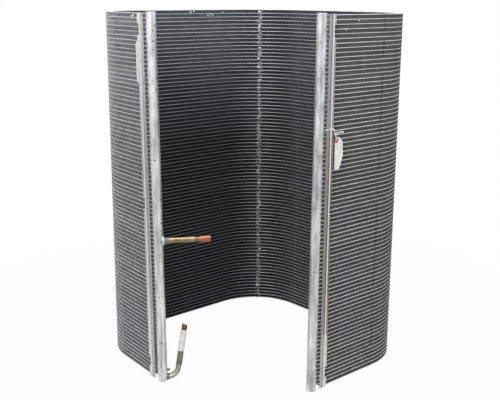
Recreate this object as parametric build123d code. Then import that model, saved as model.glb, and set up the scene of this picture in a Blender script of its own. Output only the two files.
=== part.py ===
from build123d import *
import math
import os

# Condenser coil for an outdoor unit: one finned wall of flat tubes bent round three corners,
# with an upright header at each end and an open front corner. Millimetres, +Z up.

# The finned wall
tube_rows = 85
tube_thickness = 1.8
tube_width = 18.0
fin_height = 8.0
groove_depth = 2.5
side_plate_thickness = 1.2

# The plan, measured on the middle of the wall, with each leg straight between its bends
back_leg = 276.0
left_front_leg = 163.0
right_front_leg = 207.0
bend_radius = 147.0
back_turn = 90.0
left_turn = 85.5
right_turn = 90.0
bend_kinks = 3

# The headers
header_diameter = 22.0
header_wall = 1.5
header_overhang = 4.0
cap_thickness = 1.6
separator_thickness = 2.0
lower_pass_rows = 21
fin_stop = 32.0
plate_stop = 24.0

# Each header leans in the plane of its wall: the head stands nearer to the fins than the foot
left_lean = 17.6
left_lean_level = 345.0
right_lean = 5.5
right_lean_level = 0.0

# The folded edge strips beside the headers
sheet_thickness = 1.2
strip_start = 15.5
rib_start = 28.0
rib_height = 4.0
left_strip_end = 44.0
right_strip_end = 40.0
notch_height = 25.0
notch_spacing = 388.0
strip_overhang = 2.0
lip_reach = 9.0
lip_bottom = 695.0
lip_top = 791.0
lip_slope = 8.0

# The inlet, which stands out of the left header
pipe_diameter = 12.7
pipe_wall = 1.0
inlet_height = 342.0
inlet_swing = 28.0
inlet_pipe_length = 84.0
boss_length = 12.0
boss_wall = 1.0
boss_skirt = 4.0
boss_flare = 3.5
ring_width = 2.0
ring_rise = 0.6
swage_length = 11.0
socket_depth = 22.0
socket_wall = 1.5
socket_play = 0.1

# The liquid line, which leaves the foot of the left header and turns up
liquid_height = 8.6
elbow_reach = 34.0
elbow_radius = 26.0
elbow_kinks = 4
liquid_lean = 9.4
joint_height = 24.0
sleeve_start = 7.0
sleeve_length = 35.0
sleeve_wall = 0.8
label_length = 53.0
label_wall = 0.5
bare_end = 15.0
tear_depth = 5.0

# The small plugged boss above the liquid line
nub_height = 26.0
nub_diameter = 6.0
nub_length = 6.5
nub_dimple = 2.0

# The blank tag and its wire
tag_width = 29.0
tag_height = 72.0
tag_thickness = 0.6
tag_corner = 6.0
tag_start = 40.0
tag_drop = 19.0
hook_row = 60
eyelet_radius = 6.0
eyelet_hole = 2.2
eyelet_thickness = 0.5
eyelet_inset = 9.0
wire_diameter = 1.2

# Clearances
braze_gap = 0.05
rest_gap = 0.3

pitch = tube_thickness + fin_height
header_radius = header_diameter / 2
header_bore = header_radius - header_wall
pipe_radius = pipe_diameter / 2
wall_bottom = header_overhang + side_plate_thickness
wall_height = tube_rows * pitch + fin_height
wall_top = wall_bottom + wall_height
header_height = wall_top + side_plate_thickness + header_overhang
nose = tube_width / 2
strip_crest = nose + rib_height + sheet_thickness
back_side = back_leg + 2 * bend_radius


def row_height(row):
    """Height of the middle of one tube, counted from the bottom."""
    return wall_bottom + fin_height + tube_thickness / 2 + row * pitch


def walk(start, heading, steps, offset, hand):
    """Corner points of a run of legs and bends. A bend is a few equal kinks about its arc."""
    x, y = start
    points = []
    for kind, size in steps:
        if kind == "leg":
            x += size * math.cos(heading)
            y += size * math.sin(heading)
            continue
        kink = math.radians(size) / bend_kinks
        half_flat = (bend_radius + offset) * math.tan(kink / 2)
        for _ in range(bend_kinks):
            x += half_flat * math.cos(heading)
            y += half_flat * math.sin(heading)
            points.append((x, y))
            heading -= hand * kink
            x += half_flat * math.cos(heading)
            y += half_flat * math.sin(heading)
    points.append((x, y))
    return points


def wall_line(offset, stop):
    """Plan line of the wall, offset outwards, from the left header round to the right one."""
    start = (-back_side / 2 + bend_radius, back_side / 2 + offset)
    to_right = [
        ("leg", back_leg),
        ("bend", back_turn),
        ("leg", back_leg),
        ("bend", right_turn),
        ("leg", right_front_leg - stop),
    ]
    to_left = [("bend", left_turn), ("leg", left_front_leg - stop)]
    right = walk(start, 0.0, to_right, offset, 1)
    left = walk(start, math.pi, to_left, offset, -1)
    return left[::-1] + right


class HeaderFrame:
    """Places things by u, the distance from a header's axis along its wall, and w, outwards."""

    def __init__(self, side):
        line = wall_line(0, 0)
        end, inner = (line[0], line[1]) if side == "left" else (line[-1], line[-2])
        self.axis = Vector(end[0], end[1], 0)
        self.along = (Vector(inner[0], inner[1], 0) - self.axis).normalized()
        outward = Vector(-self.along.Y, self.along.X, 0)
        self.outward = outward if side == "left" else outward * -1
        self.lean = left_lean if side == "left" else right_lean
        self.level = left_lean_level if side == "left" else right_lean_level

    def at(self, u, w, z=0.0):
        return self.axis + self.along * u + self.outward * w + Vector(0, 0, z)

    def outline(self, *uw):
        """A closed plan face through points given as (u, w)."""
        return make_face(Polyline(*[self.at(u, w) for u, w in uw], close=True))

    def shift(self, z):
        """How far the leaning header has moved along its wall at a height."""
        return self.lean * (z - self.level) / header_height

    def leaned(self, shape):
        """A shape made on the plumb header, turned to lean with it."""
        upright = Plane(origin=self.at(0, 0, self.level), x_dir=self.along, z_dir=(0, 0, 1))
        slope = self.lean / header_height
        leaning = Plane(
            origin=upright.origin,
            x_dir=self.along - Vector(0, 0, slope),
            z_dir=self.along * slope + Vector(0, 0, 1),
        )
        return leaning.location * upright.location.inverse() * shape


left = HeaderFrame("left")
right = HeaderFrame("right")


def raised(face, bottom, top):
    """A plan face made into an upright solid between two heights."""
    return extrude(Pos(0, 0, bottom) * face, top - bottom, dir=(0, 0, 1))


def turned(profile, plane):
    """A solid of revolution about the plane's normal, from (radius, distance) points."""
    face = Plane.XZ * make_face(Polyline(*profile, close=True))
    return plane * revolve(face, Axis.Z)


def tube_on(plane, radius, bore, start, end):
    """A round tube along the plane's normal."""
    return turned([(bore, start), (radius, start), (radius, end), (bore, end)], plane)


# The wall of tubes and fins


def wall_section():
    """Half section of the wall: a nose at each tube, and each fin row as a shallow groove."""
    root = nose - groove_depth
    points = [(nose, 0.0)]
    for row in range(tube_rows):
        middle = fin_height + tube_thickness / 2 + row * pitch
        groove = fin_height / 2 if row == 0 else middle - pitch / 2
        points += [(root, groove), (nose, middle)]
    points += [(root, wall_height - fin_height / 2), (nose, wall_height)]
    return points


def bare_tube_ends():
    """The stretch of each tube between the fins and the header's wall."""
    half = nose - braze_gap
    ends = []
    for frame in (left, right):
        for row in range(tube_rows):
            seat = header_radius + braze_gap + frame.shift(row_height(row))
            outline = frame.outline((fin_stop, -half), (seat, -half), (seat, half), (fin_stop, half))
            bottom = row_height(row) - tube_thickness / 2
            ends.append(raised(outline, bottom, bottom + tube_thickness))
    return ends


def finned_core():
    """Tubes and fins, brazed into one block, with each tube's bare ends reaching the headers."""
    line = [Vector(x, y, wall_bottom) for x, y in wall_line(0, fin_stop)]
    heading = (line[1] - line[0]).normalized()
    start = Plane(origin=line[0], x_dir=Vector(0, 0, 1).cross(heading), z_dir=heading)
    half = wall_section()
    points = half + [(-x, z) for x, z in reversed(half)]
    section = start * make_face(Polyline(*points, close=True))
    wall = sweep(section, path=Polyline(*line), transition=Transition.RIGHT)
    return wall + bare_tube_ends()


def side_plate(bottom):
    """The thin plate that closes the fins along one edge of the wall."""
    outer = wall_line(nose, plate_stop)
    inner = wall_line(-nose, plate_stop)
    face = make_face(Polyline(*outer, *reversed(inner), close=True))
    return raised(face, bottom, bottom + side_plate_thickness)


# The headers


def upright(frame, height):
    return Plane(origin=frame.at(0, 0, height), z_dir=(0, 0, 1))


def header(frame):
    return tube_on(
        upright(frame, 0), header_radius, header_bore, cap_thickness, header_height - cap_thickness
    )


def pierced(body, plane, radius):
    """The body with a clearance hole along the plane's normal."""
    return body - tube_on(plane, radius + braze_gap, 0, 0, header_diameter)


def left_header():
    body = pierced(header(left), outlet_plane(inlet_height), pipe_radius)
    body = pierced(body, outlet_plane(liquid_height), pipe_radius)
    return pierced(body, outlet_plane(nub_height), nub_diameter / 2)


def header_cap(frame, top):
    bottom = header_height - cap_thickness if top else 0
    return tube_on(upright(frame, bottom), header_radius, 0, 0, cap_thickness)


def header_separator():
    """The disc that parts the upper and lower passes inside the left header."""
    middle = row_height(lower_pass_rows - 1) + pitch / 2
    bottom = middle - separator_thickness / 2
    return tube_on(upright(left, bottom), header_bore - braze_gap, 0, 0, separator_thickness)


# The edge strips


def strip_section(frame, strip_end):
    """Plan section of a strip folded from sheet, with a hemmed rib that has a round top."""
    rib_end = rib_start + 2 * sheet_thickness
    low = nose
    high = nose + sheet_thickness
    crest = nose + rib_height
    crest_middle = frame.at(rib_start + sheet_thickness, strip_crest)
    path = [
        Line(frame.at(strip_start, low), frame.at(strip_end, low)),
        Line(frame.at(strip_end, low), frame.at(strip_end, high)),
        Line(frame.at(strip_end, high), frame.at(rib_end, high)),
        Line(frame.at(rib_end, high), frame.at(rib_end, crest)),
        ThreePointArc(frame.at(rib_end, crest), crest_middle, frame.at(rib_start, crest)),
        Line(frame.at(rib_start, crest), frame.at(rib_start, high)),
        Line(frame.at(rib_start, high), frame.at(strip_start, high)),
        Line(frame.at(strip_start, high), frame.at(strip_start, low)),
    ]
    return make_face(path)


def edge_strip(frame, strip_end):
    """A strip with three notches in its outer flange."""
    bottom = header_overhang - strip_overhang
    strip = raised(strip_section(frame, strip_end), bottom, header_height - bottom)
    rib_end = rib_start + 2 * sheet_thickness
    cut = frame.outline((rib_end, nose), (strip_end, nose), (strip_end, strip_crest), (rib_end, strip_crest))
    middle = header_height / 2
    for step in (-1, 0, 1):
        centre = middle + step * notch_spacing
        strip -= raised(cut, centre - notch_height / 2, centre + notch_height / 2)
    return strip


def strip_lip():
    """The wider part of the left strip's flange, with sloping ends."""
    wall = Plane(origin=left.at(left_strip_end, nose), x_dir=left.along, z_dir=left.outward)
    up = 1 if wall.y_dir.Z > 0 else -1
    corners = [
        (-sheet_thickness, lip_bottom * up),
        (0, lip_bottom * up),
        (lip_reach, (lip_bottom + lip_slope) * up),
        (lip_reach, (lip_top - lip_slope) * up),
        (0, lip_top * up),
        (-sheet_thickness, lip_top * up),
    ]
    return extrude(wall * make_face(Polyline(*corners, close=True)), sheet_thickness)


# The pipes of the left header


def outlet_direction():
    """Level direction of the pipes: inwards from the wall, swung towards the open corner."""
    swing = math.radians(inlet_swing)
    return left.outward * -math.cos(swing) - left.along * math.sin(swing)


def outlet_plane(height):
    return Plane(origin=left.at(0, 0, height), z_dir=outlet_direction())


def saddled(body):
    """The body cut to sit on the left header's round wall."""
    return body - tube_on(upright(left, 0), header_radius + braze_gap, 0, 0, header_height)


def inlet_boss():
    """A flared boss that joins the inlet pipe to the header."""
    inside = pipe_radius + braze_gap
    outside = pipe_radius + boss_wall
    profile = [
        (inside, 0),
        (outside + boss_flare, 0),
        (outside + boss_flare, header_radius - boss_wall),
        (outside, header_radius + boss_skirt),
        (outside, header_radius + boss_length),
        (inside, header_radius + boss_length),
    ]
    return saddled(turned(profile, outlet_plane(inlet_height)))


def inlet_pipe():
    start = header_bore - 2
    return tube_on(outlet_plane(inlet_height), pipe_radius, pipe_radius - pipe_wall, start, inlet_pipe_length)


def inlet_ring():
    """The band of braze where the copper meets the pipe."""
    start = inlet_pipe_length
    bore = pipe_radius - pipe_wall
    return tube_on(outlet_plane(inlet_height), pipe_radius + ring_rise, bore, start, start + ring_width)


def inlet_socket():
    """Copper end, swaged out to take a pipe."""
    start = inlet_pipe_length + ring_width
    bore = pipe_radius - pipe_wall
    wide = pipe_radius + socket_play
    mouth = start + swage_length + socket_depth
    step = start + swage_length
    ease = 3 * socket_wall
    profile = [
        (bore, start),
        (pipe_radius, start),
        (pipe_radius, step - ease),
        (wide + socket_wall, step),
        (wide + socket_wall, mouth),
        (wide, mouth),
        (wide, step),
        (bore, step - socket_wall),
    ]
    return turned(profile, outlet_plane(inlet_height))


def riser_plane():
    """Frame at the foot of the rising pipe: its normal runs up the pipe."""
    lean = math.radians(liquid_lean)
    out = outlet_direction()
    turn = math.pi / 2 - lean
    reach = elbow_reach - elbow_radius * math.tan(turn / 2) + elbow_radius * math.sin(turn)
    rise = liquid_height + elbow_radius * (1 - math.cos(turn))
    foot = left.at(0, 0, rise) + out * reach
    up = Vector(0, 0, 1) * math.cos(lean) + out * math.sin(lean)
    return Plane(origin=foot, x_dir=Vector(0, 0, 1).cross(out), z_dir=up)


def elbow_line():
    """Points of the pipe's middle line: level out of the header, round in small kinks, and up."""
    out = outlet_direction()
    turn = math.pi / 2 - math.radians(liquid_lean)
    half_flat = elbow_radius * math.tan(turn / elbow_kinks / 2)
    spot = left.at(0, 0, liquid_height) + out * (elbow_reach - elbow_radius * math.tan(turn / 2))
    points = [left.at(0, 0, liquid_height) + out * (header_bore - pipe_wall)]
    for kink in range(elbow_kinks):
        before = turn * kink / elbow_kinks
        after = turn * (kink + 1) / elbow_kinks
        spot += (out * math.cos(before) + Vector(0, 0, math.sin(before))) * half_flat
        points.append(spot)
        spot += (out * math.cos(after) + Vector(0, 0, math.sin(after))) * half_flat
    riser = riser_plane()
    return points + [riser.origin + riser.z_dir * joint_height]


def liquid_elbow():
    """Aluminium pipe from the header into the sleeve."""
    points = elbow_line()
    entry = Plane(origin=points[0], z_dir=outlet_direction())
    ring = entry * (Circle(pipe_radius) - Circle(pipe_radius - pipe_wall))
    return sweep(ring, path=Polyline(*points), transition=Transition.RIGHT)


def liquid_tail():
    """Copper end of the liquid line, cut off roughly and left open."""
    start = joint_height
    end = sleeve_start + sleeve_length + label_length + bare_end
    tail = tube_on(riser_plane(), pipe_radius, pipe_radius - pipe_wall, start, end)
    reach = pipe_diameter
    tear = Polyline(
        (-reach, end + tear_depth),
        (-pipe_radius, end - tear_depth / 4),
        (-pipe_radius / 3, end - tear_depth),
        (pipe_radius, end - tear_depth / 2),
        (reach, end + tear_depth),
        close=True,
    )
    cutter = extrude(Plane.YZ * make_face(tear), reach, both=True)
    return tail - riser_plane() * cutter


def joint_sleeve():
    bore = pipe_radius + braze_gap
    return tube_on(riser_plane(), bore + sleeve_wall, bore, sleeve_start, sleeve_start + sleeve_length)


def label_wrap():
    """A blank label wound round the liquid line."""
    start = sleeve_start + sleeve_length + rest_gap
    bore = pipe_radius + braze_gap
    return tube_on(riser_plane(), bore + label_wall, bore, start, start + label_length - rest_gap)


def header_nub():
    """A plugged boss low on the header, with a dimple in its face."""
    radius = nub_diameter / 2
    face = header_radius + nub_length
    profile = [
        (0, header_bore),
        (radius, header_bore),
        (radius, face),
        (nub_dimple / 2, face),
        (0, face - nub_dimple / 2),
    ]
    return turned(profile, outlet_plane(nub_height))


# The tag


def hook_height():
    """Height of the wire's hook, in the gap over one bare tube end."""
    return row_height(hook_row) + pitch / 2


def tag_plane():
    """Plane of the tag's back, flat against the strip: x along the wall, y up."""
    back = nose + sheet_thickness + rest_gap
    corner = right.at(tag_start, back, hook_height() - tag_drop)
    return Plane(origin=corner, x_dir=right.along, z_dir=right.outward)


def tag_hole():
    return Pos(eyelet_inset, -eyelet_radius - eyelet_thickness * 2)


def hang_tag():
    """A blank tag with cut corners and a hole."""
    outline = Polyline(
        (0, -tag_corner),
        (tag_corner, 0),
        (tag_width - tag_corner, 0),
        (tag_width, -tag_corner),
        (tag_width, -tag_height + 2 * tag_corner),
        (tag_width - tag_corner, -tag_height),
        (0, -tag_height),
        close=True,
    )
    face = make_face(outline) - tag_hole() * Circle(eyelet_hole)
    return extrude(tag_plane() * face, tag_thickness)


def tag_eyelet():
    """The stiff patch round the tag's hole."""
    ring = tag_hole() * (Circle(eyelet_radius) - Circle(eyelet_hole))
    return extrude(tag_plane().offset(tag_thickness) * ring, eyelet_thickness)


def tag_wire():
    """Bent wire: hooked behind the strip, over its rib, through the tag and out to a loose end."""
    radius = wire_diameter / 2
    hook_u = strip_start - rest_gap - radius
    hook_z = hook_height()
    over = strip_crest + rest_gap + radius
    tag_back = nose + sheet_thickness + rest_gap
    front = tag_back + tag_thickness + eyelet_thickness + rest_gap + radius
    behind = (nose + tag_back) / 2
    hole_u = tag_start + eyelet_inset
    hole_z = hook_z - tag_drop + tag_hole().position.Y + eyelet_hole - radius - braze_gap
    points = [
        right.at(hook_u, nose - pitch / 4, hook_z),
        right.at(hook_u, nose + pitch / 4, hook_z),
        right.at(rib_start, over, hook_z),
        right.at(rib_start + pitch / 2, over, hook_z),
        right.at(hole_u - pitch / 2, front + rest_gap, hole_z + pitch),
        right.at(hole_u, front, hole_z),
        right.at(hole_u, behind, hole_z),
        right.at(hole_u + pitch / 3, behind, hook_z - pitch / 2),
        right.at(hole_u + pitch, front, hook_z - pitch),
        right.at(hole_u + 2 * pitch, front, hook_z - 1.5 * pitch),
    ]
    heading = (points[1] - points[0]).normalized()
    start = Plane(origin=points[0], z_dir=heading)
    return sweep(start * Circle(radius), path=Polyline(*points), transition=Transition.RIGHT)


def wall_nodes():
    return {
        "finned_core": finned_core(),
        "top_side_plate": side_plate(wall_top),
        "bottom_side_plate": side_plate(header_overhang),
    }


def left_end_nodes():
    return {
        "left_header": left_header(),
        "left_header_top_cap": header_cap(left, True),
        "left_header_bottom_cap": header_cap(left, False),
        "left_header_separator": header_separator(),
        "left_edge_strip": edge_strip(left, left_strip_end) + strip_lip(),
        "inlet_boss": inlet_boss(),
        "inlet_pipe": inlet_pipe(),
        "inlet_ring": inlet_ring(),
        "inlet_socket": inlet_socket(),
        "liquid_elbow": liquid_elbow(),
        "liquid_tail": liquid_tail(),
        "joint_sleeve": joint_sleeve(),
        "label_wrap": label_wrap(),
        "header_nub": header_nub(),
    }


def right_header_nodes():
    return {
        "right_header": header(right),
        "right_header_top_cap": header_cap(right, True),
        "right_header_bottom_cap": header_cap(right, False),
    }


def right_trim_nodes():
    return {
        "right_edge_strip": edge_strip(right, right_strip_end),
        "hang_tag": hang_tag(),
        "tag_eyelet": tag_eyelet(),
        "tag_wire": tag_wire(),
    }


def make_nodes():
    nodes = wall_nodes()
    nodes.update({name: left.leaned(shape) for name, shape in left_end_nodes().items()})
    nodes.update({name: right.leaned(shape) for name, shape in right_header_nodes().items()})
    nodes.update(right_trim_nodes())
    return nodes


def centred(nodes):
    """The nodes moved so that the origin is under the middle of the whole coil's box."""
    boxes = [shape.bounding_box() for shape in nodes.values()]
    centre_x = (min(b.min.X for b in boxes) + max(b.max.X for b in boxes)) / 2
    centre_y = (min(b.min.Y for b in boxes) + max(b.max.Y for b in boxes)) / 2
    bottom = min(b.min.Z for b in boxes)
    shift = Pos(-centre_x, -centre_y, -bottom)
    return {name: shift * shape for name, shape in nodes.items()}


def main():
    os.makedirs("parts", exist_ok=True)
    for name, shape in centred(make_nodes()).items():
        export_step(shape, f"parts/{name}.step")


if __name__ == "__main__":
    main()
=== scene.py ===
import math
import random

import bmesh
import bpy
from mathutils import Matrix, Vector, noise


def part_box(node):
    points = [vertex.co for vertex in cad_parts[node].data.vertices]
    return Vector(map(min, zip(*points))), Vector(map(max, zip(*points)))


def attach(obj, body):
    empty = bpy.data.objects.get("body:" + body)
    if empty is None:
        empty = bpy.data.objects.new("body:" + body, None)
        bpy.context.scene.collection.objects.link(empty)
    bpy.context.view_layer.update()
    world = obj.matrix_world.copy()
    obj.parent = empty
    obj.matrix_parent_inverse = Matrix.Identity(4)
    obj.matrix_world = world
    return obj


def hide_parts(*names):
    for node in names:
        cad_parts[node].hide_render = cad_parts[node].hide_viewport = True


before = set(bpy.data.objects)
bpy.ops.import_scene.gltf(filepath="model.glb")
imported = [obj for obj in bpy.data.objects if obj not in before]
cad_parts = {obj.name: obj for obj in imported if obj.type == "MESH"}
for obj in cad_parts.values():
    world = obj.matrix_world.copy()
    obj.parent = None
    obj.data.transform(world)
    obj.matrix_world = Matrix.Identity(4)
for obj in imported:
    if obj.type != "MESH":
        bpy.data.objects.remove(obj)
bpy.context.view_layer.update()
mm = 0.001
print("frame loaded")

# camera, at the photograph's angle
cameraSettings = {
    "frameWidth": 500,  # pixels
    "focalPixels": 824.65,
    "sensorWidth": 36.0,
    "backFromWall": (1.6274, 1.7919),  # metres from the wall's far faces
    "height": 0.8876,
    "heading": (0.6627, 0.7489),
    "pitch": 13.99,  # degrees down
    "roll": 0.31,
}


def addCamera(settings):
    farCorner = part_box("finned_core")[1]
    backX, backY = settings["backFromWall"]
    place = Vector((farCorner[0] - backX, farCorner[1] - backY, settings["height"]))
    pitch = math.radians(settings["pitch"])
    roll = math.radians(settings["roll"])
    flat = Vector((settings["heading"][0], settings["heading"][1], 0)).normalized()
    forward = flat * math.cos(pitch) - Vector((0, 0, 1)) * math.sin(pitch)
    level = forward.cross(Vector((0, 0, 1))).normalized()
    upright = level.cross(forward)
    right = level * math.cos(roll) + upright * math.sin(roll)
    up = upright * math.cos(roll) - level * math.sin(roll)
    data = bpy.data.cameras.new("photoCamera")
    data.sensor_width = settings["sensorWidth"]
    data.lens = settings["focalPixels"] / settings["frameWidth"] * settings["sensorWidth"]
    data.clip_end = 50
    camera = bpy.data.objects.new("photoCamera", data)
    camera.matrix_world = Matrix.Translation(place) @ Matrix((right, up, -forward)).transposed().to_4x4()
    bpy.context.collection.objects.link(camera)
    bpy.context.scene.camera = camera


addCamera(cameraSettings)
print("camera placed")


# small helpers for meshes
def addMesh(name, verts, faces, finish, closed=True, sharpAngle=35):
    mesh = bpy.data.meshes.new(name)
    mesh.from_pydata([tuple(v) for v in verts], [], faces)
    if closed:
        work = bmesh.new()
        work.from_mesh(mesh)
        bmesh.ops.remove_doubles(work, verts=work.verts, dist=1e-6)
        bmesh.ops.delete(work, geom=[v for v in work.verts if not v.link_faces], context="VERTS")
        bmesh.ops.recalc_face_normals(work, faces=work.faces)
        work.to_mesh(mesh)
        work.free()
    mesh.materials.append(finish)
    mesh.shade_smooth()
    mesh.set_sharp_from_angle(angle=math.radians(sharpAngle))
    piece = bpy.data.objects.new(name, mesh)
    bpy.context.collection.objects.link(piece)
    return piece


def settle(piece, nodes):  # the piece rides on the one body and stands for its CAD nodes
    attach(piece, "root")
    if nodes:
        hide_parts(*nodes)


def ringFaces(rings, perRing, closedEnds=True, loop=False):
    faces = []
    last = rings if loop else rings - 1
    for i in range(last):
        here = i * perRing
        there = (i + 1) % rings * perRing
        for j in range(perRing):
            k = (j + 1) % perRing
            faces.append((here + j, here + k, there + k, there + j))
    if closedEnds and not loop:
        faces.append(tuple(range(perRing)))
        faces.append(tuple((rings - 1) * perRing + j for j in range(perRing)))
    return faces


def ringNoise(angle, spread, along):  # noise that closes on itself round a pipe
    return noise.noise(Vector((math.cos(angle) * spread, math.sin(angle) * spread, along)))


def turnedPiece(name, profile, origin, axis, finish, steps=56, wobble=None):
    side = axis.orthogonal().normalized()
    other = axis.cross(side)
    verts = []
    for i in range(steps):
        angle = 2 * math.pi * i / steps
        spoke = side * math.cos(angle) + other * math.sin(angle)
        for radius, distance in profile:
            if wobble:
                radius, distance = wobble(angle, radius, distance)
            verts.append(origin + axis * distance + spoke * radius)
    return addMesh(name, verts, ringFaces(steps, len(profile), loop=True), finish)


def roundedEnd(radius, start, end, soft, bore):  # a tube's section with softened rims
    return [
        (bore, start + soft), (bore + soft, start), (radius - soft, start), (radius, start + soft),
        (radius, end - soft), (radius - soft, end), (bore + soft, end), (bore, end - soft),
    ]


# materials
def newMaterial(name):
    material = bpy.data.materials.new(name)
    material.use_nodes = True
    nodes = material.node_tree.nodes
    return material, nodes, material.node_tree.links, nodes["Principled BSDF"]


def addNoise(nodes, links, coordinates, scale, detail=4.0, roughness=0.55, stretch=(1, 1, 1)):
    mapping = nodes.new("ShaderNodeMapping")
    mapping.inputs["Scale"].default_value = stretch
    pattern = nodes.new("ShaderNodeTexNoise")
    pattern.inputs["Scale"].default_value = scale
    pattern.inputs["Detail"].default_value = detail
    pattern.inputs["Roughness"].default_value = roughness
    links.new(coordinates, mapping.inputs["Vector"])
    links.new(mapping.outputs["Vector"], pattern.inputs["Vector"])
    return pattern.outputs["Fac"]


def addRamp(nodes, links, factor, stops):
    ramp = nodes.new("ShaderNodeValToRGB")
    ramp.color_ramp.elements[0].position = stops[0][0]
    ramp.color_ramp.elements[0].color = (*stops[0][1], 1)
    ramp.color_ramp.elements[1].position = stops[-1][0]
    ramp.color_ramp.elements[1].color = (*stops[-1][1], 1)
    for place, colour in stops[1:-1]:
        ramp.color_ramp.elements.new(place).color = (*colour, 1)
    links.new(factor, ramp.inputs["Fac"])
    return ramp.outputs["Color"]


def addMix(nodes, links, factor, first, second, kind="MIX"):
    mix = nodes.new("ShaderNodeMix")
    mix.data_type = "RGBA"
    mix.blend_type = kind
    if isinstance(factor, float):
        mix.inputs[0].default_value = factor
    else:
        links.new(factor, mix.inputs[0])
    for socket, value in ((mix.inputs[6], first), (mix.inputs[7], second)):
        if isinstance(value, tuple):
            socket.default_value = (*value, 1)
        else:
            links.new(value, socket)
    return mix.outputs[2]


def addRange(nodes, links, value, low, high, newLow, newHigh):
    remap = nodes.new("ShaderNodeMapRange")
    remap.inputs["From Min"].default_value = low
    remap.inputs["From Max"].default_value = high
    remap.inputs["To Min"].default_value = newLow
    remap.inputs["To Max"].default_value = newHigh
    links.new(value, remap.inputs["Value"])
    return remap.outputs["Result"]


def addBump(nodes, links, height, strength, distance, shader):
    bump = nodes.new("ShaderNodeBump")
    bump.inputs["Strength"].default_value = strength
    bump.inputs["Distance"].default_value = distance
    links.new(height, bump.inputs["Height"])
    links.new(bump.outputs["Normal"], shader.inputs["Normal"])


def addMath(nodes, links, operation, *values):
    node = nodes.new("ShaderNodeMath")
    node.operation = operation
    for socket, value in zip(node.inputs, values):
        if isinstance(value, (int, float)):
            socket.default_value = value
        else:
            links.new(value, socket)
    return node.outputs[0]


def addAttribute(nodes, name):
    node = nodes.new("ShaderNodeAttribute")
    node.attribute_name = name
    return node.outputs["Fac"]


def addHeight(nodes, links, coordinates):
    apart = nodes.new("ShaderNodeSeparateXYZ")
    links.new(coordinates, apart.inputs[0])
    return apart.outputs["Z"]


def grey(tone):
    return (tone, tone, tone)


def greyStops(stops):
    return [(place, grey(tone)) for place, tone in stops]


# the one recipe behind the plain finishes, with its own numbers each time
def speckledMaterial(name, look):
    look = {**plainFinish, **look}
    material, nodes, links, shader = newMaterial(name)
    coordinates = nodes.new("ShaderNodeTexCoord").outputs["Object"]

    def cover(colour, pattern, low, high, share, paint):  # paints over the places where a pattern is strong
        return addMix(nodes, links, addRange(nodes, links, pattern, low, high, 0, share), colour, paint)

    cloud = addNoise(nodes, links, coordinates, look["cloudScale"], 5, 0.6, look.get("stretch", (1, 1, 1)))
    grain = addNoise(nodes, links, coordinates, look["grainScale"], 3, 0.7)
    colour = addRamp(nodes, links, cloud, [(0.3, look["dark"]), (0.7, look["light"])])
    colour = cover(colour, grain, 0.62, 0.72, look["spots"], look["spotColour"])
    if "streakColour" in look:
        streak = addNoise(nodes, links, coordinates, look["streakScale"], 4, 0.6, look["streakStretch"])
        colour = cover(colour, streak, 0.45, 0.68, look["streaks"], look["streakColour"])
    if "pitColour" in look:
        pits = addNoise(nodes, links, coordinates, look["pitScale"], 2, 0.5)
        colour = cover(colour, pits, *look["pitEdge"], 1, look["pitColour"])
    links.new(colour, shader.inputs["Base Color"])
    links.new(addRange(nodes, links, cloud, 0.3, 0.7, *look["roughness"]), shader.inputs["Roughness"])
    shader.inputs["Metallic"].default_value = look["metallic"]
    addBump(nodes, links, grain, look["bump"], look["bumpDepth"], shader)
    return material


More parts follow.
